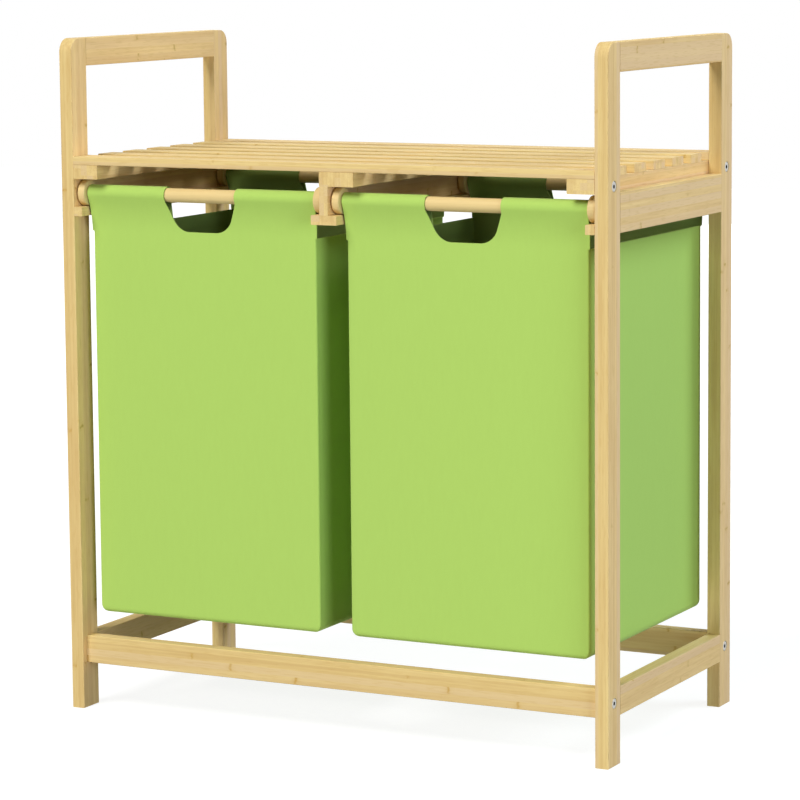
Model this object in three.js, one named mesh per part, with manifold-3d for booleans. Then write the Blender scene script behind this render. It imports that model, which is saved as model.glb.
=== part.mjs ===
// Laundry hamper with two bags. A bamboo frame carries a slatted shelf, and under
// the shelf two cloth bags hang on wooden rods, whose rollers run on bamboo runners
// so that each bag pulls out to the front.
// Millimetres: X runs to the right, Y to the back and Z up, and the origin lies on
// the floor under the middle of the frame.

import * as THREE from 'three';
import { mergeVertices, toCreasedNormals } from 'three/addons/utils/BufferGeometryUtils.js';
import Module from 'manifold-3d';

const wasm = await Module();
wasm.setup();

// Frame
const frameWidth = 640;
const frameDepth = 330;
const frameHeight = 730;

// Side frames: two posts joined by a hand rail, an upper rail and a lower rail
const postThickness = 15;
const postWidth = 30;
const postTopRadius = 15;
const handRailHeight = 30;
const upperRailHeight = 41;
const upperRailLap = 1;
const lowerRailHeight = 30;
const lowerRailBottom = 50;
const tenonThickness = 6;
const tenonLength = 9;
const tenonShoulder = 5;

// Rails that tie the two side frames together near the floor
const tieRailThickness = 15;

// Shelf: slats on three bearers, with room for a hand between it and the hand rails
const gripHeight = 96;
const slatCount = 7;
const slatWidth = 30;
const slatThickness = 9;
const bearerHeight = 15;
const endBearerWidth = 30;
const centreBearerWidth = 40;

// Runners: a strip on each side frame and an upside-down T under the centre bearer
const runnerHeight = 10;
const stripWidth = 10;
const webThickness = 10;
const flangeWidth = 30;

// Rods and rollers
const rodRadius = 7.5;
const rodEndChamfer = 0.6;
const rodSetback = 18;
const rollerRadius = 14;
const rollerThickness = 9;
const rollerEdgeRadius = 1.8;
const rollerBoreDepth = 5;
const rollerSideGap = 1.5;
const rollerRunningGap = 0.3;

// Bags
const bagSideGap = 13.5;
const bagFloorGap = 26;
const bagDrop = 16;
const clothThickness = 2;
const bagCornerRadius = 9;
const bagEdgeRadius = 4;
const flapStep = 1;
const flapFlare = 1;
const sleeveClearance = 0.4;
const sleeveThickness = 1.2;
const sleeveHemLift = 11;
const sleeveTipLift = 6;
const handHoleLift = 2;
const handHoleBottomWidth = 65;
const handHoleTopWidth = 91;
const handHoleRadius = 20;
const boardThickness = 3;
const boardSideGap = 1;

// Bolts through the posts
const boltHeadRadius = 5.5;
const boltHeadHeight = 2.7;
const boltHeadChamfer = 0.4;
const boltShankRadius = 3;
const boltLength = 38;
const boltTipChamfer = 0.8;
const socketWidth = 4;
const socketDepth = 1.8;

// Fits and edges
const fitGap = 0.3;
const arris = 0.8;
const overrun = 1;

// Facets
const arrisSteps = 2;
const bendSteps = 2;
const cornerSteps = 4;
const postCornerSteps = 8;
const roundSteps = 28;
const sleeveSteps = 9;
const boltSteps = 16;
const smoothAngle = Math.PI / 6;

// Places that follow from the sizes
const innerHalfWidth = frameWidth / 2 - postThickness;
const innerHalfDepth = frameDepth / 2 - postWidth;
const postX = frameWidth / 2 - postThickness / 2;
const postY = frameDepth / 2 - postWidth / 2;
const shelfTop = frameHeight - handRailHeight - gripHeight;
const bearerTop = shelfTop - slatThickness;
const bearerBottom = bearerTop - bearerHeight;
const bearerMid = bearerBottom + bearerHeight / 2;
const upperRailBottom = bearerBottom + upperRailLap - upperRailHeight;
const lowerRailMid = lowerRailBottom + lowerRailHeight / 2;
const runnerTop = upperRailBottom + runnerHeight;
const bayHalfWidth = (innerHalfWidth - webThickness / 2) / 2;
const bayX = innerHalfWidth - bayHalfWidth;
const rollerOuterX = bayHalfWidth - rollerSideGap;
const rollerInnerX = rollerOuterX - rollerThickness;
const rodY = frameDepth / 2 - rodSetback;
const rodZ = runnerTop + rollerRunningGap + rollerRadius;
const bagTop = upperRailBottom - bagDrop;
const bagBottom = lowerRailBottom + lowerRailHeight + bagFloorGap;
const bagWidth = 2 * (bayHalfWidth - bagSideGap);
const bagDepth = 2 * rodY + clothThickness;
const sleeveInnerRadius = rodRadius + sleeveClearance;
const sleeveOuterRadius = sleeveInnerRadius + sleeveThickness;
const flapBottomHalfWidth = bagWidth / 2 + flapStep;
const flapTopHalfWidth = flapBottomHalfWidth + flapFlare;
const boltHoleRadius = boltShankRadius + fitGap;

// Finishes
const finishes = {
  bamboo: { color: 0xe0c48d, roughness: 0.5, metalness: 0 },
  roller: { color: 0xe6cd98, roughness: 0.45, metalness: 0 },
  cloth: { color: 0xb2d566, roughness: 0.9, metalness: 0 },
  board: { color: 0xa9cb62, roughness: 0.9, metalness: 0 },
  steel: { color: 0xb9b9b4, roughness: 0.35, metalness: 0.9 },
};

function piece(name, finish, geometry, x = 0, y = 0, z = 0) {
  const mesh = new THREE.Mesh(geometry, new THREE.MeshStandardMaterial(finishes[finish]));
  mesh.name = name;
  mesh.position.set(x, y, z);
  return mesh;
}

// Cutting and joining

function solidOf(geometry) {
  const bare = geometry.clone();
  bare.deleteAttribute('normal');
  bare.deleteAttribute('uv');
  const merged = mergeVertices(bare);
  return new wasm.Manifold(new wasm.Mesh({
    numProp: 3,
    vertProperties: new Float32Array(merged.attributes.position.array),
    triVerts: new Uint32Array(merged.index.array),
  }));
}

function geometryOf(solid) {
  const mesh = solid.getMesh();
  const geometry = new THREE.BufferGeometry();
  geometry.setAttribute('position', new THREE.BufferAttribute(mesh.vertProperties, mesh.numProp));
  geometry.setIndex(new THREE.BufferAttribute(mesh.triVerts, 1));
  return toCreasedNormals(geometry, smoothAngle);
}

function joined(geometries) {
  const solids = geometries.map(solidOf);
  return geometryOf(solids.reduce((all, next) => all.add(next)));
}

function cut(geometry, cutters) {
  return geometryOf(cutters.map(solidOf).reduce((left, next) => left.subtract(next), solidOf(geometry)));
}

// Basic forms

function extrude(shape, length, rounding, steps) {
  const geometry = new THREE.ExtrudeGeometry(shape, {
    depth: length - 2 * rounding,
    bevelEnabled: rounding > 0,
    bevelThickness: rounding,
    bevelSize: rounding,
    bevelOffset: -rounding,
    bevelSegments: bendSteps,
    curveSegments: steps,
  });
  return geometry.translate(0, 0, rounding - length / 2);
}

// The shape is drawn in X and Z, and runs along Y
function extrudeAlongY(shape, length, rounding = 0, steps = arrisSteps) {
  return extrude(shape, length, rounding, steps).rotateX(Math.PI / 2);
}

// The shape is drawn in Y and Z, and runs along X
function extrudeAlongX(shape, length, rounding = 0, steps = arrisSteps) {
  return extrude(shape, length, rounding, steps).rotateX(Math.PI / 2).rotateZ(Math.PI / 2);
}

function roundedRectangle(width, height, radius) {
  const x = width / 2 - radius;
  const y = height / 2 - radius;
  const shape = new THREE.Shape();
  shape.absarc(x, -y, radius, -Math.PI / 2, 0);
  shape.absarc(x, y, radius, 0, Math.PI / 2);
  shape.absarc(-x, y, radius, Math.PI / 2, Math.PI);
  shape.absarc(-x, -y, radius, Math.PI, 1.5 * Math.PI);
  return shape;
}

function barAlongX(length, depth, height) {
  return extrudeAlongX(roundedRectangle(depth, height, arris), length);
}

function barAlongY(width, length, height) {
  return extrudeAlongY(roundedRectangle(width, height, arris), length);
}

function block(width, depth, height, x = 0, y = 0, z = 0) {
  return new THREE.BoxGeometry(width, depth, height).translate(x, y, z);
}

function rodAlongX(radius, length, x = 0, y = 0, z = 0, steps = roundSteps) {
  const rod = new THREE.CylinderGeometry(radius, radius, length, steps);
  return rod.rotateZ(Math.PI / 2).translate(x, y, z);
}

// A profile of radius and place along the axis, turned about X. Side 1 keeps the
// profile's high end to the right, and side -1 puts it to the left.
function turnedAboutX(profile, side, steps = roundSteps) {
  const points = profile.map(([radius, place]) => new THREE.Vector2(radius, place));
  return new THREE.LatheGeometry(points, steps).rotateZ(-side * Math.PI / 2);
}

// Side frames

function postOutline(end) {
  const outer = end * postWidth / 2;
  const shoulder = frameHeight - postTopRadius;
  const outline = new THREE.Shape();
  outline.moveTo(-outer, 0);
  outline.lineTo(outer, 0);
  outline.lineTo(outer, shoulder);
  outline.absarc(outer - end * postTopRadius, shoulder, postTopRadius,
    end > 0 ? 0 : Math.PI, Math.PI / 2, end < 0);
  outline.lineTo(-outer, frameHeight);
  return outline;
}

function mortise(end, railBottom, railHeight) {
  const length = tenonLength + fitGap + overrun;
  const y = -end * (postWidth / 2 + overrun - length / 2);
  const height = railHeight - 2 * tenonShoulder + 2 * fitGap;
  return block(tenonThickness + 2 * fitGap, length, height, 0, y, railBottom + railHeight / 2);
}

function boltHole(side, z) {
  const sinkDepth = boltHeadHeight + 2 * fitGap;
  const sinkX = side * (postThickness / 2 + overrun / 2 - sinkDepth / 2);
  const sink = rodAlongX(boltHeadRadius + fitGap, sinkDepth + overrun, sinkX, 0, z, boltSteps);
  const shank = rodAlongX(boltHoleRadius, postThickness + 2 * overrun, 0, 0, z, boltSteps);
  return joined([sink, shank]);
}

// Side is -1 for left and 1 for right, and end is -1 for front and 1 for rear
function postGeometry(side, end) {
  const blank = extrudeAlongX(postOutline(end), postThickness, arris, postCornerSteps);
  return cut(blank, [
    mortise(end, frameHeight - handRailHeight, handRailHeight),
    mortise(end, upperRailBottom, upperRailHeight),
    mortise(end, lowerRailBottom, lowerRailHeight),
    boltHole(side, bearerMid),
    boltHole(side, lowerRailMid),
  ]);
}

function sideRailGeometry(height) {
  const tenonHeight = height - 2 * tenonShoulder;
  const length = 2 * innerHalfDepth;
  return joined([
    barAlongY(postThickness, length, height),
    block(tenonThickness, length + 2 * tenonLength, tenonHeight),
  ]);
}

function sideFrame(side, label) {
  const group = new THREE.Group();
  group.position.x = side * postX;
  for (const [end, place] of [[-1, 'front'], [1, 'rear']]) {
    group.add(piece(`${label}_${place}_post`, 'bamboo', postGeometry(side, end), 0, end * postY));
  }
  const rails = [
    ['hand_rail', handRailHeight, frameHeight - handRailHeight],
    ['upper_rail', upperRailHeight, upperRailBottom],
    ['lower_rail', lowerRailHeight, lowerRailBottom],
  ];
  for (const [name, height, bottom] of rails) {
    group.add(piece(`${label}_${name}`, 'bamboo', sideRailGeometry(height), 0, 0, bottom + height / 2));
  }
  return group;
}

// Rails between the side frames, with a hole in each end for a bolt

const boltReach = boltLength - postThickness + overrun;

// A blind hole that a bolt enters from the side, at the face that lies faceX away
function boltSeat(side, faceX, y) {
  const x = side * (faceX + overrun / 2 - boltReach / 2);
  return rodAlongX(boltHoleRadius, boltReach + overrun, x, y, 0, boltSteps);
}

function tieRailGeometry() {
  const length = 2 * innerHalfWidth;
  const rail = barAlongX(length, tieRailThickness, lowerRailHeight);
  return cut(rail, [boltSeat(-1, innerHalfWidth, 0), boltSeat(1, innerHalfWidth, 0)]);
}

function tieRails() {
  const group = new THREE.Group();
  group.add(piece('front_tie_rail', 'bamboo', tieRailGeometry(), 0, -postY, lowerRailMid));
  group.add(piece('rear_tie_rail', 'bamboo', tieRailGeometry(), 0, postY, lowerRailMid));
  return group;
}

// Shelf

function endBearerGeometry(side) {
  const bearer = barAlongY(endBearerWidth, frameDepth, bearerHeight);
  const faceX = endBearerWidth / 2;
  return cut(bearer, [boltSeat(side, faceX, -postY), boltSeat(side, faceX, postY)]);
}

function shelf() {
  const group = new THREE.Group();
  const bearerX = innerHalfWidth - endBearerWidth / 2;
  const centreX = centreBearerWidth / 2 - webThickness / 2;
  const centre = barAlongY(centreBearerWidth, frameDepth, bearerHeight);
  group.add(piece('left_bearer', 'bamboo', endBearerGeometry(-1), -bearerX, 0, bearerMid));
  group.add(piece('centre_bearer', 'bamboo', centre, centreX, 0, bearerMid));
  group.add(piece('right_bearer', 'bamboo', endBearerGeometry(1), bearerX, 0, bearerMid));
  const pitch = (frameDepth - slatWidth) / (slatCount - 1);
  for (let i = 0; i < slatCount; i += 1) {
    const slat = barAlongX(2 * innerHalfWidth, slatWidth, slatThickness);
    const y = (slatWidth - frameDepth) / 2 + i * pitch;
    group.add(piece(`shelf_slat_${i + 1}`, 'bamboo', slat, 0, y, shelfTop - slatThickness / 2));
  }
  return group;
}

// Runners

function runners() {
  const group = new THREE.Group();
  const runnerMid = runnerTop - runnerHeight / 2;
  for (const [side, label] of [[-1, 'left'], [1, 'right']]) {
    const strip = barAlongY(stripWidth, frameDepth, runnerHeight);
    const x = side * (innerHalfWidth - stripWidth / 2);
    group.add(piece(`${label}_runner`, 'bamboo', strip, x, 0, runnerMid));
  }
  const webHeight = bearerBottom - runnerTop;
  const web = barAlongY(webThickness, frameDepth, webHeight);
  const flange = barAlongY(flangeWidth, frameDepth, runnerHeight);
  group.add(piece('centre_runner_web', 'bamboo', web, 0, 0, runnerTop + webHeight / 2));
  group.add(piece('centre_runner_flange', 'bamboo', flange, 0, 0, runnerMid));
  return group;
}

// Rods and rollers

function arcPoints(radius, place, bend, from, to) {
  const points = [];
  for (let i = 0; i <= bendSteps; i += 1) {
    const angle = from + (to - from) * i / bendSteps;
    points.push([radius + bend * Math.cos(angle), place + bend * Math.sin(angle)]);
  }
  return points;
}

// The bore that takes the rod opens in the roller's inner face
function rollerGeometry(side) {
  const half = rollerThickness / 2;
  const rim = rollerRadius - rollerEdgeRadius;
  const bore = rodRadius + fitGap;
  const boreFloor = rollerBoreDepth - half;
  return turnedAboutX([
    [0, boreFloor],
    [bore, boreFloor],
    [bore, -half],
    ...arcPoints(rim, rollerEdgeRadius - half, rollerEdgeRadius, -Math.PI / 2, 0),
    ...arcPoints(rim, half - rollerEdgeRadius, rollerEdgeRadius, 0, Math.PI / 2),
    [0, half],
  ], side);
}

function rodGeometry() {
  const half = rollerInnerX + rollerBoreDepth - fitGap;
  return turnedAboutX([
    [0, -half],
    [rodRadius - rodEndChamfer, -half],
    [rodRadius, rodEndChamfer - half],
    [rodRadius, half - rodEndChamfer],
    [rodRadius - rodEndChamfer, half],
    [0, half],
  ], 1);
}

function rollerRod(end, label) {
  const group = new THREE.Group();
  group.position.set(0, end * rodY, rodZ);
  group.add(piece(`${label}_rod`, 'roller', rodGeometry()));
  const x = (rollerInnerX + rollerOuterX) / 2;
  group.add(piece(`${label}_left_roller`, 'roller', rollerGeometry(-1), -x));
  group.add(piece(`${label}_right_roller`, 'roller', rollerGeometry(1), x));
  return group;
}

// Cloth bags

// A box with round lower corners, seen from the front, that starts at bottom
function bagForm(width, depth, bottom, cornerRadius, edgeRadius) {
  const half = width / 2;
  const top = bagTop + edgeRadius + overrun;
  const outline = new THREE.Shape();
  outline.moveTo(half, top);
  outline.lineTo(-half, top);
  outline.lineTo(-half, bottom + cornerRadius);
  outline.absarc(cornerRadius - half, bottom + cornerRadius, cornerRadius, Math.PI, 1.5 * Math.PI);
  outline.absarc(half - cornerRadius, bottom + cornerRadius, cornerRadius, 1.5 * Math.PI, 2 * Math.PI);
  return extrudeAlongY(outline, depth, edgeRadius, cornerSteps);
}

function bagBody() {
  const outer = bagForm(bagWidth, bagDepth, bagBottom, bagCornerRadius, bagEdgeRadius);
  const inner = bagForm(bagWidth - 2 * clothThickness, bagDepth - 2 * clothThickness,
    bagBottom + clothThickness, bagCornerRadius - clothThickness, bagEdgeRadius - clothThickness);
  const cap = block(bagWidth + 2 * overrun, bagDepth + 2 * overrun, 2 * bagEdgeRadius + 2 * overrun,
    0, 0, bagTop + bagEdgeRadius + overrun);
  return cut(outer, [inner, cap]);
}

// Where a line from a point touches a circle, on the side that lies towards the bag's middle
function touchPoint(fromY, fromZ, radius) {
  const away = Math.hypot(rodZ - fromZ, fromY + rodY);
  const toward = Math.atan2(fromZ - rodZ, fromY + rodY);
  const angle = toward + Math.acos(radius / away);
  return { y: radius * Math.cos(angle) - rodY, z: rodZ + radius * Math.sin(angle), angle };
}

// The front sleeve seen from the side. The cloth sweeps forward from the bag's front to
// the rod, goes over it and comes straight down behind it to its hem.
function sleeveOutline() {
  const front = bagDepth / 2;
  const rise = rodZ - bagTop;
  const setback = front - rodY;
  const sweepRadius = (rise ** 2 + setback ** 2 - sleeveOuterRadius ** 2)
    / (2 * (sleeveOuterRadius - setback));
  const sweepAngle = Math.atan2(rise, sweepRadius + setback);
  const inner = front - clothThickness;
  const hemZ = bagTop + sleeveHemLift;
  const behind = touchPoint(-inner, hemZ, sleeveOuterRadius);
  const outline = new THREE.Shape();
  outline.moveTo(-inner, bagTop);
  outline.lineTo(-inner, hemZ);
  outline.absarc(-rodY, rodZ, sleeveOuterRadius, behind.angle, Math.PI + sweepAngle);
  outline.absarc(-front - sweepRadius, bagTop, sweepRadius, sweepAngle, 0, true);
  return outline;
}

// The room inside the front sleeve: round at the rod and narrowing to a tip below it
function sleeveRoom() {
  const tipZ = bagTop + sleeveHemLift + sleeveTipLift;
  const behind = touchPoint(-rodY, tipZ, sleeveInnerRadius);
  const room = new THREE.Shape();
  room.moveTo(-rodY, tipZ);
  room.lineTo(behind.y, behind.z);
  room.absarc(-rodY, rodZ, sleeveInnerRadius, behind.angle, Math.PI - behind.angle);
  return room;
}

// The sleeve's solid, with its two ends leaning outwards and upwards
function flapGeometry() {
  const slope = flapFlare / (rodZ - bagTop);
  const topZ = rodZ + sleeveOuterRadius + overrun;
  const topHalfWidth = flapBottomHalfWidth + slope * (topZ - bagTop);
  const face = new THREE.Shape();
  face.moveTo(-flapBottomHalfWidth, bagTop);
  face.lineTo(flapBottomHalfWidth, bagTop);
  face.lineTo(topHalfWidth, topZ);
  face.lineTo(-topHalfWidth, topZ);
  const wide = extrudeAlongX(sleeveOutline(), 2 * topHalfWidth, 0, sleeveSteps);
  const deep = extrudeAlongY(face, frameDepth).translate(0, -rodY, 0);
  return geometryOf(solidOf(wide).intersect(solidOf(deep)));
}

function handHole() {
  const top = rodZ + sleeveOuterRadius + overrun;
  const bottom = bagTop + handHoleLift;
  const flare = (handHoleTopWidth - handHoleBottomWidth) / 2;
  const lean = Math.atan2(flare, rodZ + sleeveOuterRadius - bottom);
  const topHalfWidth = handHoleBottomWidth / 2 + (top - bottom) * Math.tan(lean);
  const tangent = handHoleRadius * Math.tan((Math.PI / 2 - lean) / 2);
  const cornerX = handHoleBottomWidth / 2 - tangent;
  const cornerZ = bottom + handHoleRadius;
  const outline = new THREE.Shape();
  outline.moveTo(topHalfWidth, top);
  outline.lineTo(-topHalfWidth, top);
  outline.absarc(-cornerX, cornerZ, handHoleRadius, Math.PI + lean, 1.5 * Math.PI);
  outline.absarc(cornerX, cornerZ, handHoleRadius, 1.5 * Math.PI, 2 * Math.PI - lean);
  return extrudeAlongY(outline, bagDepth + 2 * sleeveOuterRadius + 2 * overrun, 0, cornerSteps);
}

function bagClothGeometry() {
  const flap = flapGeometry();
  const footWidth = bagWidth - 2 * bagEdgeRadius;
  const footY = (bagDepth - clothThickness) / 2;
  const foot = block(footWidth, clothThickness, 2 * overrun, 0, -footY, bagTop);
  const room = extrudeAlongX(sleeveRoom(), bagWidth + 2 * rollerRadius, 0, sleeveSteps);
  const behind = (geometry) => geometry.clone().rotateZ(Math.PI);
  const shell = joined([bagBody(), flap, foot, behind(flap), behind(foot)]);
  return cut(shell, [room, behind(room), handHole()]);
}

function baseBoardGeometry() {
  const width = bagWidth - 2 * bagCornerRadius - 2 * boardSideGap;
  const depth = bagDepth - 2 * bagEdgeRadius - 2 * boardSideGap;
  const plan = roundedRectangle(width, depth, bagEdgeRadius);
  return extrude(plan, boardThickness, 0, bendSteps);
}

function bag(side, label) {
  const group = new THREE.Group();
  group.position.x = side * bayX;
  const boardZ = bagBottom + clothThickness + fitGap + boardThickness / 2;
  group.add(piece(`${label}_bag_cloth`, 'cloth', bagClothGeometry()));
  group.add(piece(`${label}_bag_base_board`, 'board', baseBoardGeometry(), 0, 0, boardZ));
  group.add(rollerRod(-1, `${label}_bag_front`));
  group.add(rollerRod(1, `${label}_bag_rear`));
  return group;
}

// Bolts with a hexagon socket, each sunk in its post

function boltGeometry(side) {
  const bolt = turnedAboutX([
    [0, -boltLength],
    [boltShankRadius - boltTipChamfer, -boltLength],
    [boltShankRadius, boltTipChamfer - boltLength],
    [boltShankRadius, -boltHeadHeight],
    [boltHeadRadius, -boltHeadHeight],
    [boltHeadRadius, -boltHeadChamfer],
    [boltHeadRadius - boltHeadChamfer, 0],
    [0, 0],
  ], side, boltSteps);
  const socketRadius = socketWidth / 2 / Math.cos(Math.PI / 6);
  const socket = new THREE.CylinderGeometry(socketRadius, socketRadius, socketDepth + overrun, 6);
  socket.rotateZ(Math.PI / 2).translate(side * (overrun - socketDepth) / 2, 0, 0);
  return cut(bolt, [socket]);
}

function bolts() {
  const group = new THREE.Group();
  for (const [side, sideLabel] of [[-1, 'left'], [1, 'right']]) {
    for (const [end, endLabel] of [[-1, 'front'], [1, 'rear']]) {
      for (const [z, level] of [[bearerMid, 'upper'], [lowerRailMid, 'lower']]) {
        const x = side * (frameWidth / 2 - fitGap);
        const name = `${sideLabel}_${endLabel}_${level}_bolt`;
        group.add(piece(name, 'steel', boltGeometry(side), x, end * postY, z));
      }
    }
  }
  return group;
}

const hamper = new THREE.Group();
hamper.name = 'laundry_hamper';
hamper.add(
  sideFrame(-1, 'left'),
  sideFrame(1, 'right'),
  tieRails(),
  shelf(),
  runners(),
  bag(-1, 'left'),
  bag(1, 'right'),
  bolts(),
);

export default hamper;
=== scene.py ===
"""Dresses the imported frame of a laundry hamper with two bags, and lights and frames it as in the photograph.

Metres: X runs to the right, Y to the back and Z up, and the origin lies on the floor under the middle.
"""

from __future__ import annotations

import logging
import math
from dataclasses import dataclass, field
from enum import Enum
from typing import Sequence, Union

import bmesh
import bpy
from mathutils import Matrix, Vector


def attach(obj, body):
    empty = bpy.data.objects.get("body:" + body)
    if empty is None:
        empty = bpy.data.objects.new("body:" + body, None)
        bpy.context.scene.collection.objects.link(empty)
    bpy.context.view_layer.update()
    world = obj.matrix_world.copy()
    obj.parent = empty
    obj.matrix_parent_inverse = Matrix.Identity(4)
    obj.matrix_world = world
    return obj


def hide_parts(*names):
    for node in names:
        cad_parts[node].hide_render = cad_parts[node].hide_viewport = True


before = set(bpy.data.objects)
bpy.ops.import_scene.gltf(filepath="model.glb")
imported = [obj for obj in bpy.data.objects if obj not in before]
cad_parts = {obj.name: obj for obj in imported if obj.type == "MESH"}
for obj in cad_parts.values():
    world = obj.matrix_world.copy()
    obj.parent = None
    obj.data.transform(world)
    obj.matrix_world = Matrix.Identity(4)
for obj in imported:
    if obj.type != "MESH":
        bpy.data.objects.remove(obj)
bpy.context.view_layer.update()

log = logging.getLogger("laundry_hamper")

IMAGE_SIZE = 800
MILLIMETRE = 0.001
CUT_TOLERANCE = 1e-7

Pair = tuple[float, float]
Triple = tuple[float, float, float]
Colour = tuple[float, float, float]
Value = Union[float, bpy.types.NodeSocket]

WHITE: Colour = (1.0, 1.0, 1.0)
COOL_WHITE: Colour = (0.80, 0.92, 1.0)


class Grain(Enum):
    """The axis along which a piece's fibres run."""

    ALONG_X = 0
    ALONG_Y = 1
    ALONG_Z = 2


class Side(Enum):
    """One of the hamper's two sides."""

    LEFT = -1
    RIGHT = 1

    @property
    def label(self) -> str:
        """The word that starts the names of this side's pieces."""
        return self.name.lower()


class End(Enum):
    """The front or the rear."""

    FRONT = -1
    REAR = 1

    @property
    def label(self) -> str:
        """The word that stands for this end in the names of pieces."""
        return self.name.lower()


class NodeGraph:
    """A tree of shader nodes that is put together by short calls."""

    def __init__(self, owner: bpy.types.Material | bpy.types.World, output: str) -> None:
        """Starts an empty tree with its output.

        Args:
            owner: the material or the world.
            output: the output node's type.
        """
        owner.use_nodes = True
        self.tree = owner.node_tree
        self.tree.nodes.clear()
        self.output = self.node(output)

    def node(self, kind: str, *values: Value | Sequence[float], **settings: object) -> bpy.types.Node:
        """Adds a node.

        Args:
            kind: the node's type.
            values: what its first inputs are fed, in order.
            settings: properties to set on it.

        Returns:
            The new node.
        """
        node = self.tree.nodes.new(kind)
        for key, setting in settings.items():
            setattr(node, key, setting)
        for socket, value in zip(node.inputs, values):
            self.feed(socket, value)
        return node

    def feed(self, socket: bpy.types.NodeSocket, value: Value | Sequence[float]) -> None:
        """Links a socket to an input, or sets the input to a value.

        Args:
            socket: the input.
            value: an output socket, a number, or the numbers of a vector or colour.
        """
        if isinstance(value, bpy.types.NodeSocket):
            self.tree.links.new(value, socket)
        else:
            socket.default_value = value

    def calc(self, operation: str, *values: Value) -> bpy.types.NodeSocket:
        """Works out one number from others by the Math node's operation of that name."""
        return self.node("ShaderNodeMath", *values, operation=operation).outputs[0]

    def fade(self, value: Value, start: float, end: float, low: float = 0.0, high: float = 1.0
             ) -> bpy.types.NodeSocket:
        """Turns one number smoothly into another.

        Args:
            value: the number that is read.
            start: where the change starts.
            end: where it ends.
            low: the result before the start.
            high: the result after the end.

        Returns:
            The result's socket.
        """
        node = self.node("ShaderNodeMapRange", value, start, end, low, high, interpolation_type="SMOOTHSTEP")
        return node.outputs["Result"]


class MaterialGraph(NodeGraph):
    """The node tree of a material with a principled surface."""

    def __init__(self, name: str) -> None:
        """Starts the material.

        Args:
            name: the material's name.
        """
        self.material = bpy.data.materials.new(name)
        super().__init__(self.material, "ShaderNodeOutputMaterial")
        self.surface = self.node("ShaderNodeBsdfPrincipled")
        self.feed(self.output.inputs["Surface"], self.surface.outputs["BSDF"])
        self.place = self.node("ShaderNodeTexCoord")

    def split(self, vector: bpy.types.NodeSocket) -> list[bpy.types.NodeSocket]:
        """Takes a vector apart into its X, Y and Z."""
        return list(self.node("ShaderNodeSeparateXYZ", vector).outputs)

    def scaled(self, scale: Sequence[float], shift: Sequence[float] = (0, 0, 0)) -> bpy.types.NodeSocket:
        """Gives the object's own coordinates, stretched and moved.

        Args:
            scale: the factor along each axis.
            shift: what is added after that.

        Returns:
            The vector's socket.
        """
        node = self.node("ShaderNodeMapping", self.place.outputs["Object"], shift)
        node.inputs["Scale"].default_value = scale
        return node.outputs["Vector"]

    def noise(self, vector: bpy.types.NodeSocket, detail: float) -> bpy.types.NodeSocket:
        """Adds soft noise with cells one unit wide.

        Args:
            vector: where it is read.
            detail: how many finer layers it has.

        Returns:
            The noise's socket, about 0.5 on average.
        """
        node = self.node("ShaderNodeTexNoise", vector)
        node.inputs["Scale"].default_value = 1.0
        node.inputs["Detail"].default_value = detail
        return node.outputs[0]

    def blend(self, factor: Value, first: Value, second: Value) -> bpy.types.NodeSocket:
        """Goes from one number to another as the factor goes from 0 to 1."""
        return self.calc("MULTIPLY_ADD", factor, self.calc("SUBTRACT", second, first), first)

    def mix(self, factor: Value, first: Colour | bpy.types.NodeSocket,
            second: Colour | bpy.types.NodeSocket, way: str = "MIX") -> bpy.types.NodeSocket:
        """Mixes two colours.

        Args:
            factor: 0 for the first and 1 for the second.
            first: a colour or a socket.
            second: a colour or a socket.
            way: the name of the Mix node's blend type.

        Returns:
            The colour's socket.
        """
        node = self.node("ShaderNodeMix", factor, data_type="RGBA", clamp_factor=True, blend_type=way)
        colours = [socket for socket in node.inputs if socket.type == "RGBA"]
        for socket, colour in zip(colours, (first, second)):
            self.feed(socket, (*colour, 1.0) if isinstance(colour, tuple) else colour)
        return next(socket for socket in node.outputs if socket.type == "RGBA")

    def bump(self, height: bpy.types.NodeSocket, distance: float, strength: float) -> None:
        """Gives the surface a relief.

        Args:
            height: the relief's height from 0 to 1.
            distance: what a height of 1 stands for.
            strength: how much of it shows.
        """
        node = self.node("ShaderNodeBump")
        self.feed(node.inputs["Height"], height)
        node.inputs["Distance"].default_value = distance
        node.inputs["Strength"].default_value = strength
        self.feed(self.surface.inputs["Normal"], node.outputs["Normal"])


@dataclass(frozen=True)
class Touch:
    """How rough, how glossy and how uneven a finish is."""

    roughness: float
    relief: float
    strength: float
    swing: float = 0.0
    gloss: float = 0.5

    def give(self, graph: MaterialGraph, colour: bpy.types.NodeSocket, pattern: bpy.types.NodeSocket) -> None:
        """Completes a material.

        Args:
            graph: the material's nodes.
            colour: its colour.
            pattern: a number from 0 to 1 that the relief follows, and the roughness too where it swings.
        """
        inputs = graph.surface.inputs
        graph.feed(inputs["Base Color"], colour)
        rough = self.roughness
        if self.swing:
            rough = graph.calc("MULTIPLY_ADD", pattern, self.swing, self.roughness - self.swing / 2)
        graph.feed(inputs["Roughness"], rough)
        graph.feed(inputs["Specular IOR Level"], self.gloss)
        graph.bump(pattern, self.relief, self.strength)


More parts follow.
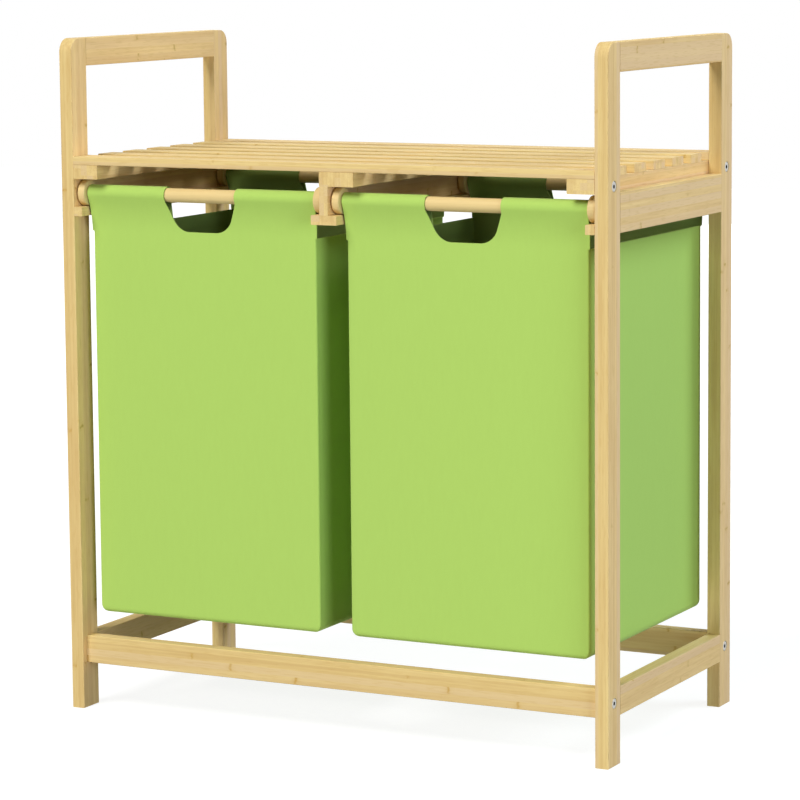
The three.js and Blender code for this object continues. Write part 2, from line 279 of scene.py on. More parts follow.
@dataclass(frozen=True)
class BambooFinish:
    """Laminated bamboo: strips of different tone and hue, with fibres, short dashes and node marks.

    The cells of a pattern are counted in a metre, along and across the grain. A shade is what a pattern
    adds to the tone, which is 0 for the deep and 1 for the pale colour. A depth is how far it goes towards
    the colour of the marks, and limits are the values between which it sets in.
    """

    pale: Colour = (0.814, 0.610, 0.260)
    deep: Colour = (0.688, 0.471, 0.186)
    rosy: Colour = (0.745, 0.544, 0.287)
    mark: Colour = (0.590, 0.350, 0.086)
    # Painted light: faces looking along X, on either side, are multiplied lighter and bluer by this colour, in
    # place of cool light from the side.
    sideways: Colour = (1.140, 1.060, 1.160)
    seed_steps: Triple = (3.71, 1.93, 2.57)
    strip_width: float = 7.5 * MILLIMETRE
    strip_shade: float = 0.50
    fibre_cells: Pair = (5.0, 420.0)
    fibre_shade: float = 1.70
    sawn_cells: Triple = (420.0, 420.0, 25.0)
    band_cells: Pair = (1.6, 150.0)
    band_shade: float = 1.00
    cloud_cells: Pair = (12.0, 90.0)
    cloud_shade: float = 1.05
    lowest_tone: float = -1.60
    rosy_limits: Pair = (0.45, 0.95)
    rosy_share: float = 0.7
    facing_limits: Pair = (0.6, 0.9)
    dash_cells: Pair = (60.0, 800.0)
    dash_limits: Pair = (0.58, 0.70)
    dash_depth: float = 0.18
    node_spacing: float = 0.26
    node_wobble_cells: Pair = (20.0, 250.0)
    node_wobble: float = 4.0 * MILLIMETRE
    node_limits: Pair = (0.30, 0.70)
    node_reach: float = 2.6 * MILLIMETRE
    node_depth: float = 0.70
    halo_reach: float = 9.0 * MILLIMETRE
    halo_depth: float = 0.18
    patch_cells: Triple = (230.0, 230.0, 230.0)
    patch_limits: Pair = (0.30, 0.60)
    touch: Touch = Touch(roughness=0.60, relief=0.10 * MILLIMETRE, strength=0.35, swing=0.16, gloss=0.12)

    def stretched(self, grain: Grain, along: float, across: float) -> Triple:
        """The scale that draws a pattern out along the grain."""
        return tuple(along if axis == grain.value else across for axis in range(3))

    def material(self, name: str, grain: Grain, seed: int) -> bpy.types.Material:
        """Makes one piece's material.

        Args:
            name: the piece's name.
            grain: the way its fibres run.
            seed: a number that sets it apart from the other pieces.

        Returns:
            The material.
        """
        graph = MaterialGraph(f"bamboo_{name}")
        shift = tuple(seed * step for step in self.seed_steps)

        def figure(cells: Pair, detail: float) -> bpy.types.NodeSocket:
            """Noise that is drawn out along this piece's grain."""
            return graph.noise(graph.scaled(self.stretched(grain, *cells), shift), detail)

        strips = graph.scaled(self.stretched(grain, 0.0, 1 / self.strip_width), shift)
        strip = graph.node("ShaderNodeVectorMath", strips, operation="FLOOR")
        chance = graph.node("ShaderNodeTexWhiteNoise", strip.outputs[0], noise_dimensions="3D")
        toning, hue, marking = graph.node("ShaderNodeSeparateColor", chance.outputs["Color"]).outputs

        sawn = graph.noise(graph.scaled(self.sawn_cells, shift), detail=2.0)
        facing = graph.split(graph.place.outputs["Normal"])
        # The first mask finds end grain; the second finds faces looking along X, which get painted side light.
        at_end, painted_light_facing = [graph.fade(graph.calc("ABSOLUTE", facing[axis.value]), *self.facing_limits)
                           for axis in (grain, Grain.ALONG_X)]
        streaks = graph.blend(at_end, figure(self.fibre_cells, detail=3.0), sawn)
        dash = graph.fade(figure(self.dash_cells, detail=0.0), *self.dash_limits)

        tone = graph.calc("MULTIPLY_ADD", toning, self.strip_shade, self.lowest_tone)
        tone = graph.calc("MULTIPLY_ADD", streaks, self.fibre_shade, tone)
        tone = graph.calc("MULTIPLY_ADD", figure(self.band_cells, detail=1.0), self.band_shade, tone)
        tone = graph.calc("MULTIPLY_ADD", figure(self.cloud_cells, detail=1.0), self.cloud_shade, tone)
        wood = graph.mix(tone, self.deep, self.pale)
        wood = graph.mix(graph.fade(hue, *self.rosy_limits, 0.0, self.rosy_share), wood, self.rosy)
        # Painted light: faces looking along X are made lighter and bluer here.
        wood = graph.mix(painted_light_facing, wood, self.sideways, "MULTIPLY")

        wobble = figure(self.node_wobble_cells, detail=1.0)
        along = graph.split(graph.place.outputs["Object"])[grain.value]
        along = graph.calc("MULTIPLY_ADD", wobble, self.node_wobble, along)
        turn = graph.calc("MULTIPLY_ADD", along, 1 / self.node_spacing, hue)
        part = graph.calc("SUBTRACT", graph.calc("FRACT", turn), 0.5)
        away = graph.calc("MULTIPLY", graph.calc("ABSOLUTE", part), self.node_spacing)
        patches = graph.noise(graph.scaled(self.patch_cells, shift), detail=1.0)
        patchy = graph.fade(patches, *self.patch_limits)
        shown = graph.calc("MULTIPLY", graph.fade(marking, *self.node_limits), patchy)
        line = graph.calc("MULTIPLY", graph.fade(away, 0.0, self.node_reach, self.node_depth, 0.0), shown)
        halo = graph.calc("MULTIPLY", graph.fade(away, 0.0, self.halo_reach, self.halo_depth, 0.0), shown)
        darker = graph.calc("MULTIPLY_ADD", dash, self.dash_depth, graph.calc("ADD", line, halo))
        self.touch.give(graph, graph.mix(darker, wood, self.mark), streaks)
        return graph.material


@dataclass(frozen=True)
class TurnedWoodFinish:
    """Smooth turned wood with a fine grain along its axis."""

    pale: Colour = (0.83, 0.635, 0.295)
    deep: Colour = (0.72, 0.520, 0.215)
    seed_steps: Triple = (2.13, 4.07, 1.37)
    fibre_cells: Triple = (10.0, 520.0, 520.0)
    fibre_shade: float = 0.7
    band_cells: Triple = (6.0, 130.0, 130.0)
    band_shade: float = 0.5
    tone_drop: float = 0.1
    touch: Touch = Touch(roughness=0.55, relief=0.08 * MILLIMETRE, strength=0.3, swing=0.14, gloss=0.25)

    def material(self, name: str, seed: int) -> bpy.types.Material:
        """Makes one rod's or roller's material.

        Args:
            name: the piece's name.
            seed: a number that sets it apart from the other pieces.

        Returns:
            The material.
        """
        graph = MaterialGraph(f"turned_wood_{name}")
        shift = tuple(seed * step for step in self.seed_steps)
        fibres = graph.noise(graph.scaled(self.fibre_cells, shift), detail=3.0)
        bands = graph.noise(graph.scaled(self.band_cells, shift), detail=1.0)
        tone = graph.calc("ADD", graph.calc("MULTIPLY", fibres, self.fibre_shade),
                          graph.calc("MULTIPLY", bands, self.band_shade))
        tone = graph.calc("SUBTRACT", tone, self.tone_drop)
        self.touch.give(graph, graph.mix(tone, self.deep, self.pale), fibres)
        return graph.material


@dataclass(frozen=True)
class ClothFinish:
    """Close plain weave, whose threads follow the cloth's own coordinates."""

    thread: Colour = (0.450, 0.665, 0.134)
    gap: Colour = (0.400, 0.585, 0.112)
    thread_pitch: float = 0.6 * MILLIMETRE
    crown_shade: float = 0.75
    slub_cells: Triple = (260.0, 260.0, 60.0)
    slub_shade: float = 0.30
    lowest_tone: float = -0.10
    sheen: float = 0.10
    sheen_roughness: float = 0.5
    touch: Touch = Touch(roughness=0.82, relief=0.05 * MILLIMETRE, strength=0.2, gloss=0.3)

    def material(self, name: str, layer: str) -> bpy.types.Material:
        """Makes the cloth's material.

        Args:
            name: the material's name.
            layer: the name of the UV map that follows the threads, in metres.

        Returns:
            The material.
        """
        graph = MaterialGraph(name)
        threads = graph.node("ShaderNodeUVMap", uv_map=layer)
        runs = graph.split(threads.outputs["UV"])[:2]
        counts = [graph.calc("DIVIDE", run, self.thread_pitch) for run in runs]
        crowns = [graph.calc("SINE", graph.calc("MULTIPLY", graph.calc("FRACT", count), math.pi))
                  for count in counts]
        steps = graph.calc("ADD", *(graph.calc("FLOOR", count) for count in counts))
        over = graph.calc("MULTIPLY", graph.calc("FRACT", graph.calc("MULTIPLY", steps, 0.5)), 2.0)
        height = graph.calc("ADD", graph.calc("MULTIPLY", over, crowns[0]),
                            graph.calc("MULTIPLY", graph.calc("SUBTRACT", 1.0, over), crowns[1]))
        slub = graph.noise(graph.scaled(self.slub_cells), detail=2.0)
        tone = graph.calc("MULTIPLY_ADD", height, self.crown_shade, self.lowest_tone)
        tone = graph.calc("MULTIPLY_ADD", slub, self.slub_shade, tone)
        graph.surface.inputs["Sheen Weight"].default_value = self.sheen
        graph.surface.inputs["Sheen Roughness"].default_value = self.sheen_roughness
        self.touch.give(graph, graph.mix(tone, self.gap, self.thread), height)
        return graph.material


@dataclass(frozen=True)
class BoardFinish:
    """The covered board in the bottom of a bag, with a felted surface."""

    pale: Colour = (0.42, 0.60, 0.13)
    deep: Colour = (0.34, 0.50, 0.10)
    felt_cells: Triple = (900.0, 900.0, 900.0)
    touch: Touch = Touch(roughness=0.9, relief=0.2 * MILLIMETRE, strength=0.4)

    def material(self, name: str) -> bpy.types.Material:
        """Makes the board's material.

        Args:
            name: the material's name.

        Returns:
            The material.
        """
        graph = MaterialGraph(name)
        felt = graph.noise(graph.scaled(self.felt_cells), detail=4.0)
        self.touch.give(graph, graph.mix(felt, self.deep, self.pale), felt)
        return graph.material


@dataclass(frozen=True)
class BoltFinish:
    """Zinc-plated steel, a little uneven, with painted shade inside the sockets, which it finds by their
    place: near-black and not metallic, in place of the shade of the deep recess.
    """

    pale: Colour = (0.55, 0.54, 0.50)
    deep: Colour = (0.42, 0.41, 0.38)
    # Painted shade: the colour of the sockets' inside.
    black: Colour = (0.012, 0.012, 0.014)
    film_cells: Triple = (700.0, 700.0, 700.0)
    touch: Touch = Touch(roughness=0.38, relief=0.02 * MILLIMETRE, strength=0.3, swing=0.2, gloss=0.2)
    bolt_y: float = 150.0 * MILLIMETRE
    middle_z: float = 326.25 * MILLIMETRE
    bolt_rise: float = 261.25 * MILLIMETRE
    socket_radius: float = 2.4 * MILLIMETRE
    socket_floor: float = 319.2 * MILLIMETRE
    socket_mouth: float = 319.66 * MILLIMETRE

    def material(self, name: str) -> bpy.types.Material:
        """Makes the bolts' material.

        Args:
            name: the material's name.

        Returns:
            The material.
        """
        graph = MaterialGraph(name)
        film = graph.noise(graph.scaled(self.film_cells), detail=3.0)
        x, y, z = graph.split(graph.place.outputs["Object"])
        aside = graph.calc("SUBTRACT", graph.calc("ABSOLUTE", y), self.bolt_y)
        rise = graph.calc("ABSOLUTE", graph.calc("SUBTRACT", z, self.middle_z))
        rise = graph.calc("SUBTRACT", rise, self.bolt_rise)
        square = graph.calc("MULTIPLY_ADD", aside, aside, graph.calc("MULTIPLY", rise, rise))
        near_axis = graph.calc("LESS_THAN", square, self.socket_radius ** 2)
        # Painted shade: the socket's walls and floor become near-black and lose their metal, in place of the
        # recess's shade.
        sunk = graph.fade(graph.calc("ABSOLUTE", x), self.socket_floor, self.socket_mouth, 1.0, 0.0)
        plated = graph.mix(film, self.deep, self.pale)
        black = graph.calc("MULTIPLY", sunk, near_axis)
        graph.feed(graph.surface.inputs["Metallic"], graph.calc("SUBTRACT", 1.0, black))
        self.touch.give(graph, graph.mix(black, plated, self.black), film)
        return graph.material


def dress(name: str, material: bpy.types.Material) -> None:
    """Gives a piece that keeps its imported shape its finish.

    Args:
        name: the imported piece's name.
        material: its material.
    """
    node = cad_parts[name]
    for slot in node.material_slots:
        slot.material = material
    log.info("%s: %s", name, material.name)


@dataclass
class Carcass:
    """The bamboo frame, its shelf and runners, and the bolts that hold it together."""

    bamboo: BambooFinish = BambooFinish()
    steel: BoltFinish = BoltFinish()
    slat_count: int = 7
    first_seed: int = 4

    def grains(self) -> dict[str, Grain]:
        """Names each bamboo piece and the way its fibres run.

        Returns:
            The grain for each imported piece's name.
        """
        grains = {}
        for side in Side:
            for end in End:
                grains[f"{side.label}_{end.label}_post"] = Grain.ALONG_Z
            for level in ("hand_rail", "upper_rail", "lower_rail", "bearer", "runner"):
                grains[f"{side.label}_{level}"] = Grain.ALONG_Y
        for end in End:
            grains[f"{end.label}_tie_rail"] = Grain.ALONG_X
        for name in ("centre_bearer", "centre_runner_web", "centre_runner_flange"):
            grains[name] = Grain.ALONG_Y
        for number in range(1, self.slat_count + 1):
            grains[f"shelf_slat_{number}"] = Grain.ALONG_X
        return grains

    def build(self) -> None:
        """Finishes the bamboo pieces and the bolts."""
        for seed, (name, grain) in enumerate(self.grains().items(), start=self.first_seed):
            dress(name, self.bamboo.material(name, grain, seed))
        steel = self.steel.material("bolt_steel")
        for side in Side:
            for end in End:
                for level in ("upper", "lower"):
                    dress(f"{side.label}_{end.label}_{level}_bolt", steel)


def arc(centre: Pair, radius: float, start: float, end: float, steps: int) -> list[Pair]:
    """Walks along an arc.

    Args:
        centre: its centre.
        radius: its radius.
        start: the angle at which it starts, in radians.
        end: the angle at which it ends.
        steps: how many steps it takes.

    Returns:
        The places, from its start to its end.
    """
    angles = [start + (end - start) * step / steps for step in range(steps + 1)]
    return [(centre[0] + radius * math.cos(angle), centre[1] + radius * math.sin(angle)) for angle in angles]


@dataclass
class BagForm:
    """The sizes of one bag in metres, about the middle of its bay, and the lines that its cloth follows."""

    width: float = 0.273
    depth: float = 0.296
    bottom: float = 0.106
    top: float = 0.524
    thickness: float = 0.0009
    side_edge_radius: float = 0.009
    front_edge_radius: float = 0.0055
    corner_radius: float = 0.0022
    board_lift: float = 0.0012
    rod_y: float = 0.147
    rod_z: float = 0.5643
    sleeve_radius: float = 0.0091
    sleeve_tip_lift: float = 0.017
    sleeve_hem_lift: float = 0.009
    flap_half_width: float = 0.1375
    flap_flare: float = 0.001
    hem_radius: float = 0.0011
    hem_depth: float = 0.014
    hole_lift: float = 0.0016
    hole_bottom_width: float = 0.0604
    hole_top_width: float = 0.086
    hole_shoulder: float = 0.5576
    hole_radius: float = 0.021
    bottom_rings: tuple[Pair, ...] = ((0.005, 0.4), (0.011, 1.0))
    corner_closing: float = 0.5
    least_corner: float = 0.4
    side_bow: float = 0.0016
    front_bow: float = 0.0007
    bow_skew: float = 0.75
    ripple: float = 0.3
    ripple_turns: Pair = (8.0, 6.0)
    bowed_share: float = 0.49
    across_steps: int = 28
    deep_steps: int = 28
    up_steps: int = 34
    corner_steps: int = 4
    edge_steps: int = 7
    sweep_steps: int = 9
    sleeve_steps: int = 20
    hem_steps: int = 6

    @property
    def wall_top(self) -> float:
        """The height at which the side walls start to fold over into their hems."""
        return self.top - self.hem_radius

    def ring(self, half_x: float, half_y: float, radius: float) -> list[Pair]:
        """Goes once round the bag's plan, from the front's left end, against the clock seen from above.

        Args:
            half_x: half of the plan's width.
            half_y: half of the plan's depth.
            radius: its corners' radius.

        Returns:
            The places in X and Y. Each ring of a bag has the same number of them.
        """
        places: list[Pair] = []
        reach_x = half_x - radius
        reach_y = half_y - radius
        sides = (
            ((-reach_x, -half_y), (reach_x, -half_y), self.across_steps, (reach_x, -reach_y)),
            ((half_x, -reach_y), (half_x, reach_y), self.deep_steps, (reach_x, reach_y)),
            ((reach_x, half_y), (-reach_x, half_y), self.across_steps, (-reach_x, reach_y)),
            ((-half_x, reach_y), (-half_x, -reach_y), self.deep_steps, (-reach_x, -reach_y)),
        )
        angle = -math.pi / 2
        for start, end, steps, corner in sides:
            for step in range(steps + 1):
                part = step / steps
                places.append((start[0] + (end[0] - start[0]) * part, start[1] + (end[1] - start[1]) * part))
            places += arc(corner, radius, angle, angle + math.pi / 2, self.corner_steps)[1:-1]
            angle += math.pi / 2
        return places

    def inset(self, height: float, radius: float) -> float:
        """How far a rounded lower edge has come in at a height above the bottom.

        Args:
            height: the height.
            radius: the edge's radius.

        Returns:
            The distance from the wall's plane.
        """
        drop = max(radius - height, 0.0)
        return radius - math.sqrt(radius ** 2 - drop ** 2)

    def heights(self) -> list[float]:
        """The heights of the wall's rings above the bottom, close together at the rounded lower edge."""
        edge = [self.side_edge_radius * (1 - math.cos(0.5 * math.pi * step / self.edge_steps))
                for step in range(self.edge_steps + 1)]
        wall = self.wall_top - self.bottom - self.side_edge_radius
        return edge + [self.side_edge_radius + wall * step / self.up_steps
                       for step in range(1, self.up_steps + 1)]

    def hung(self, x: float, y: float, z: float) -> Triple:
        """Lets the wall's cloth give a little where nothing holds it.

        Args:
            x: place across the bag on the plain form.
            y: place from front to back on it.
            z: height.

        Returns:
            The place on the hanging cloth.
        """
        rise = min(max((z - self.bottom) / (self.wall_top - self.bottom), 0.0), 1.0)
        belly = math.sin(math.pi * rise ** self.bow_skew)
        up, deep = self.ripple_turns
        ripple = 1 + self.ripple * math.sin(up * rise + deep * y / self.depth)
        if abs(x) > self.bowed_share * self.width:
            x -= math.copysign(self.side_bow, x) * belly * ripple * math.cos(math.pi * y / self.depth)
        if abs(y) > self.bowed_share * self.depth:
            y += math.copysign(self.front_bow, y) * belly * math.cos(math.pi * x / self.width)
        return x, y, z

    @property
    def sweep_radius(self) -> float:
        """The radius of the arc in which the front leaves the wall's plane and meets the sleeve."""
        rise = self.rod_z - self.top
        setback = self.depth / 2 - self.rod_y
        return (rise ** 2 + setback ** 2 - self.sleeve_radius ** 2) / (2 * (self.sleeve_radius - setback))

    def front_at(self, z: float) -> float:
        """How far the front's outer face lies from the bag's middle, at a height on its sweep."""
        radius = self.sweep_radius
        return self.depth / 2 + radius - math.sqrt(radius ** 2 - (z - self.top) ** 2)

    def flap_line(self) -> list[Pair]:
        """Follows the front cloth from the wall's top over the rod and down to its hem.

        Returns:
            Distances to the front of the bag's middle, and heights.
        """
        radius = self.sweep_radius
        front = self.depth / 2
        meet = math.atan2(self.rod_z - self.top, radius + front - self.rod_y)
        line = arc((front + radius, self.top), radius, math.pi, math.pi - meet, self.sweep_steps)[1:]
        tip_z = self.top + self.sleeve_tip_lift
        tip = self.front_at(tip_z) - 2 * self.thickness
        away = math.hypot(self.rod_y - tip, self.rod_z - tip_z)
        toward = math.atan2(tip_z - self.rod_z, self.rod_y - tip)
        leave = math.pi - toward - math.acos(self.sleeve_radius / away)
        line += arc((self.rod_y, self.rod_z), self.sleeve_radius, -meet, leave, self.sleeve_steps)[1:]
        last = line[-1]
        for step in range(1, self.hem_steps + 1):
            part = step / self.hem_steps
            line.append((last[0] + (tip - last[0]) * part, last[1] + (tip_z - last[1]) * part))
        hem_z = self.top + self.sleeve_hem_lift
        for step in range(1, self.hem_steps + 1):
            z = tip_z + (hem_z - tip_z) * step / self.hem_steps
            line.append((self.front_at(z) - 2 * self.thickness, z))
        return line

    def hole_outline(self) -> list[Pair]:
        """Draws the hand hole, with upright sides along the sleeve, and open above the rod.

        Returns:
            Places in X and Z.
        """
        above = self.rod_z + 2 * self.sleeve_radius
        below = self.top + self.hole_lift
        flare = (self.hole_top_width - self.hole_bottom_width) / 2
        lean = math.atan2(flare, self.hole_shoulder - below)
        corner_x = self.hole_radius * math.tan((math.pi / 2 - lean) / 2) - self.hole_bottom_width / 2
        corner = (corner_x, below + self.hole_radius)
        outline = [(-self.hole_top_width / 2, above), (-self.hole_top_width / 2, self.hole_shoulder)]
        outline += arc(corner, self.hole_radius, math.pi + lean, 1.5 * math.pi, 2 * self.edge_steps)
        outline += [(-x, z) for x, z in reversed(outline)]
        return outline

    def flat_size(self) -> Triple:
        """The cut of the cloth before it was sewn: a cross with its arms up the walls.

        Returns:
            Its width, its length and its area.
        """
        line = [(self.depth / 2, self.wall_top), *self.flap_line()]
        flap = sum(math.dist(first, second) for first, second in zip(line, line[1:]))
        wall = self.wall_top - self.bottom
        across = self.width + 2 * (wall + self.hem_depth)
        along = self.depth + 2 * (wall + flap)
        area = self.width * along + self.depth * (across - self.width)
        return across, along, area


class ClothLoft:
    """A sheet of cloth that is lofted row by row, and that knows how its threads run."""

    def __init__(self, middle_x: float) -> None:
        """Starts an empty sheet.

        Args:
            middle_x: where the middle of the bag lies across the hamper.
        """
        self.middle_x = middle_x
        self.mesh = bmesh.new()
        self.threads: dict[bmesh.types.BMVert, Pair] = {}
        self.level_faces: set[bmesh.types.BMFace] = set()

    def point(self, x: float, y: float, z: float, u: float, v: float) -> bmesh.types.BMVert:
        """Adds a point of the cloth.

        Args:
            x: place across, from the bag's middle.
            y: place from front to back.
            z: height.
            u: how far along the weft it lies.
            v: how far along the warp it lies.

        Returns:
            The point.
        """
        vert = self.mesh.verts.new((x + self.middle_x, y, z))
        self.threads[vert] = (u, v)
        return vert

    def strip(self, low: list[bmesh.types.BMVert], high: list[bmesh.types.BMVert],
              closed: bool = False, turned_in: bool = False) -> None:
        """Joins two rows of points, so that their faces look outwards.

        Args:
            low: the row that was made first.
            high: the row after it.
            closed: whether the rows go all round.
            turned_in: whether the cloth is folded over here, so that it faces the bag's inside.
        """
        count = len(low)
        for index in range(count if closed else count - 1):
            after = (index + 1) % count
            face = self.mesh.faces.new((low[index], low[after], high[after], high[index]))
            # Folded-in faces take the second material, the darker painted shade of the inside.
            face.material_index = int(turned_in)

    def level(self, outer: list[bmesh.types.BMVert], inner: list[bmesh.types.BMVert] | None) -> None:
        """Continues the sheet inwards from a closed row, or fills the row where there is no further one.

        Args:
            outer: the row.
            inner: the row inside it, if there is one.
        """
        if inner is None:
            self.level_faces.add(self.mesh.faces.new(list(reversed(outer))))
            return
        for index, start in enumerate(outer):
            after = (index + 1) % len(outer)
            self.level_faces.add(self.mesh.faces.new((start, inner[index], inner[after], outer[after])))

    def write_threads(self, layer: str) -> None:
        """Writes the run of the threads into a UV map.

        Args:
            layer: the UV map's name.
        """
        uv = self.mesh.loops.layers.uv.new(layer)
        whole = max(u for u, _ in self.threads.values())
        for face in self.mesh.faces:
            runs = [self.threads[loop.vert] for loop in face.loops]
            wraps = max(u for u, _ in runs) - min(u for u, _ in runs) > whole / 2
            for loop, (u, v) in zip(face.loops, runs):
                if face in self.level_faces:
                    loop[uv].uv = loop.vert.co.xy
                else:
                    loop[uv].uv = (u + whole if wraps and u < whole / 2 else u, v)

    def cut_out(self, outline: list[Pair], above: float) -> None:
        """Cuts an outline out of the front and the rear flap.

        Args:
            outline: places in X and Z on a line that keeps what is cut out on its left.
            above: the height over which the cloth may be cut.
        """
        region = [face for face in self.mesh.faces if face.calc_center_median().z > above]
        for (x, z), (next_x, next_z) in zip(outline, outline[1:]):
            outward = Vector((next_z - z, 0.0, x - next_x)).normalized()
            edges = {edge for face in region for edge in face.edges}
            verts = {vert for face in region for vert in face.verts}
            start = Vector((x + self.middle_x, 0.0, z))
            cut = bmesh.ops.bisect_plane(self.mesh, geom=[*region, *edges, *verts], dist=CUT_TOLERANCE,
                                         plane_co=start, plane_no=outward)
            faces = [item for item in cut["geom"] if isinstance(item, bmesh.types.BMFace)]
            region = [face for face in faces if (face.calc_center_median() - start).dot(outward) < 0]
        bmesh.ops.delete(self.mesh, geom=region, context="FACES")

    def finished(self, name: str) -> bpy.types.Mesh:
        """Closes the work.

        Args:
            name: the mesh's name.

        Returns:
            The mesh.
        """
        made = bpy.data.meshes.new(name)
        self.mesh.to_mesh(made)
        self.mesh.free()
        return made


@dataclass
class Bag:
    """One bag: the cloth that hangs on its rods, and its board, rods and rollers."""

    side: Side
    bay_x: float = 0.155
    form: BagForm = field(default_factory=BagForm)
    cloth: ClothFinish = ClothFinish()
    # Painted shade: the inside of the cloth is a darker green, so that the bag's inside looks shaded.
    lining: ClothFinish = ClothFinish(thread=(0.24, 0.350, 0.085), gap=(0.21, 0.305, 0.073), sheen=0.0)
    board: BoardFinish = BoardFinish()
    wood: TurnedWoodFinish = TurnedWoodFinish()
    layer: str = "threads"
    smooth_angle: float = math.radians(40)
    middle_seed: int = 40
    seed_spread: int = 10

    @property
    def label(self) -> str:
        """The words that start the names of this bag's pieces."""
        return f"{self.side.label}_bag"

    def wall(self, loft: ClothLoft) -> list[list[bmesh.types.BMVert]]:
        """Lofts the walls from the rounded lower edges up to the hems.

        Args:
            loft: the sheet.

        Returns:
            Its rings from the lowest to the highest.
        """
        form = self.form
        rings = []
        for height in form.heights():
            near = form.inset(height, form.side_edge_radius)
            close = form.inset(height, form.front_edge_radius)
            radius = max(form.corner_radius - form.corner_closing * min(near, close),
                         form.least_corner * form.corner_radius)
            plan = form.ring(form.width / 2 - near, form.depth / 2 - close, radius)
            z = form.bottom + height
            run = 0.0
            ring = []
            for last, here in zip([plan[0], *plan], plan):
                run += math.dist(last, here)
                ring.append(loft.point(*form.hung(*here, z), run, z))
            rings.append(ring)
        for low, high in zip(rings, rings[1:]):
            loft.strip(low, high, closed=True)
        return rings

    def bottom(self, loft: ClothLoft, edge: list[bmesh.types.BMVert]) -> None:
        """Closes the bottom, which the board holds flat a little above the edge.

        Args:
            loft: the sheet.
            edge: the wall's lowest ring.
        """
        form = self.form
        outer = edge
        for inward, lift in form.bottom_rings:
            half_x = form.width / 2 - form.side_edge_radius - inward
            half_y = form.depth / 2 - form.front_edge_radius - inward
            plan = form.ring(half_x, half_y, form.corner_radius)
            inner = [loft.point(x, y, form.bottom + lift * form.board_lift, x, y) for x, y in plan]
            loft.level(outer, inner)
            outer = inner
        loft.level(outer, None)

    def flap(self, loft: ClothLoft, rim: list[bmesh.types.BMVert], end: End) -> None:
        """Lofts one flap from the wall's top over the rod and down behind it.

        Args:
            loft: the sheet.
            rim: the wall's highest ring.
            end: whether it is the front or the rear flap.
        """
        form = self.form
        turn = -end.value
        corner = form.corner_steps
        start = 0 if end is End.FRONT else form.across_steps + form.deep_steps + 2 * corner
        places = range(-corner, form.across_steps + corner + 1)
        row = [rim[(start + place) % len(rim)] for place in places]
        reach = form.width / 2 - form.corner_radius
        spread = []
        for place in places:
            beyond = max(-place, place - form.across_steps, 0) / corner
            flat = reach * (2 * min(max(place, 0), form.across_steps) / form.across_steps - 1)
            spread.append(flat + math.copysign(beyond * (form.flap_half_width - reach), flat))
        rounded = [(turn * (vert.co.x - loft.middle_x), -turn * vert.co.y) for vert in row]
        edge_z = (form.wall_top + form.top) / 2
        halves = [((x + flat) / 2, (out + form.depth / 2) / 2) for (x, out), flat in zip(rounded, spread)]
        run = form.top
        weft = [loft.threads[vert][0] for vert in row]
        halfway = [loft.point(turn * x, -turn * out, edge_z, u, edge_z) for (x, out), u in zip(halves, weft)]
        loft.strip(row, halfway)
        line = [(form.depth / 2, form.top), *form.flap_line()]
        over_rod = form.sweep_steps + form.sleeve_steps // 2
        row = halfway
        for place, (out, z) in enumerate(line):
            run += math.dist(line[max(place - 1, 0)], (out, z))
            rise = min((z - form.top) / (form.rod_z - form.top), 1.0)
            widen = 1 + form.flap_flare / form.flap_half_width * rise
            above = [loft.point(turn * x * widen, -turn * out, z, u, run) for x, u in zip(spread, weft)]
            loft.strip(row, above, turned_in=place > over_rod)
            row = above

    def side_hem(self, loft: ClothLoft, rim: list[bmesh.types.BMVert], side: Side) -> None:
        """Folds the top of a side wall inwards and down.

        Args:
            loft: the sheet.
            rim: the wall's highest ring.
            side: which wall of the bag it is.
        """
        form = self.form
        corner = form.corner_steps
        first = form.across_steps + corner
        start = first if side is Side.RIGHT else first + form.deep_steps + form.across_steps + 2 * corner
        row = rim[start:start + form.deep_steps + 1]
        weft = [loft.threads[vert][0] for vert in row]
        depths = [vert.co.y for vert in row]
        radius = form.hem_radius
        fold = arc((form.width / 2 - radius, form.wall_top), radius, 0.0, math.pi, form.edge_steps)[1:]
        for share in (0.5, 1.0):
            fold.append((form.width / 2 - 2 * radius, form.wall_top - share * form.hem_depth))
        run = form.wall_top
        for place, (x, z) in enumerate(fold):
            run += math.dist(fold[max(place - 1, 0)], (x, z))
            above = [loft.point(side.value * x, y, z, u, run) for y, u in zip(depths, weft)]
            loft.strip(row, above, turned_in=place > form.edge_steps // 2)
            row = above

    def build_cloth(self) -> bpy.types.Object:
        """Makes the bag's cloth and hangs it on the rods.

        Returns:
            The cloth.
        """
        form = self.form
        loft = ClothLoft(self.side.value * self.bay_x)
        rings = self.wall(loft)
        self.bottom(loft, rings[0])
        for end in End:
            self.flap(loft, rings[-1], end)
        for side in Side:
            self.side_hem(loft, rings[-1], side)
        loft.write_threads(self.layer)
        loft.cut_out(form.hole_outline(), form.top)
        name = f"{self.label}_hanging_cloth"
        cloth = bpy.data.objects.new(name, loft.finished(name))
        bpy.context.scene.collection.objects.link(cloth)
        bpy.ops.object.select_all(action="DESELECT")
        cloth.select_set(True)
        bpy.context.view_layer.objects.active = cloth
        bpy.ops.object.modifier_add(type="SOLIDIFY")
        thick = cloth.modifiers[-1]
        thick.thickness = form.thickness
        thick.offset = -1.0
        thick.use_even_offset = True
        # The inner shell takes the second material, the darker painted shade of the bag's inside.
        thick.material_offset = 1
        cloth.data.materials.append(self.cloth.material(f"{self.label}_cloth_weave", self.layer))
        cloth.data.materials.append(self.lining.material(f"{self.label}_cloth_lining", self.layer))
        bpy.ops.object.modifier_apply(modifier=thick.name)
        bpy.ops.object.shade_smooth_by_angle(angle=self.smooth_angle)
        return cloth

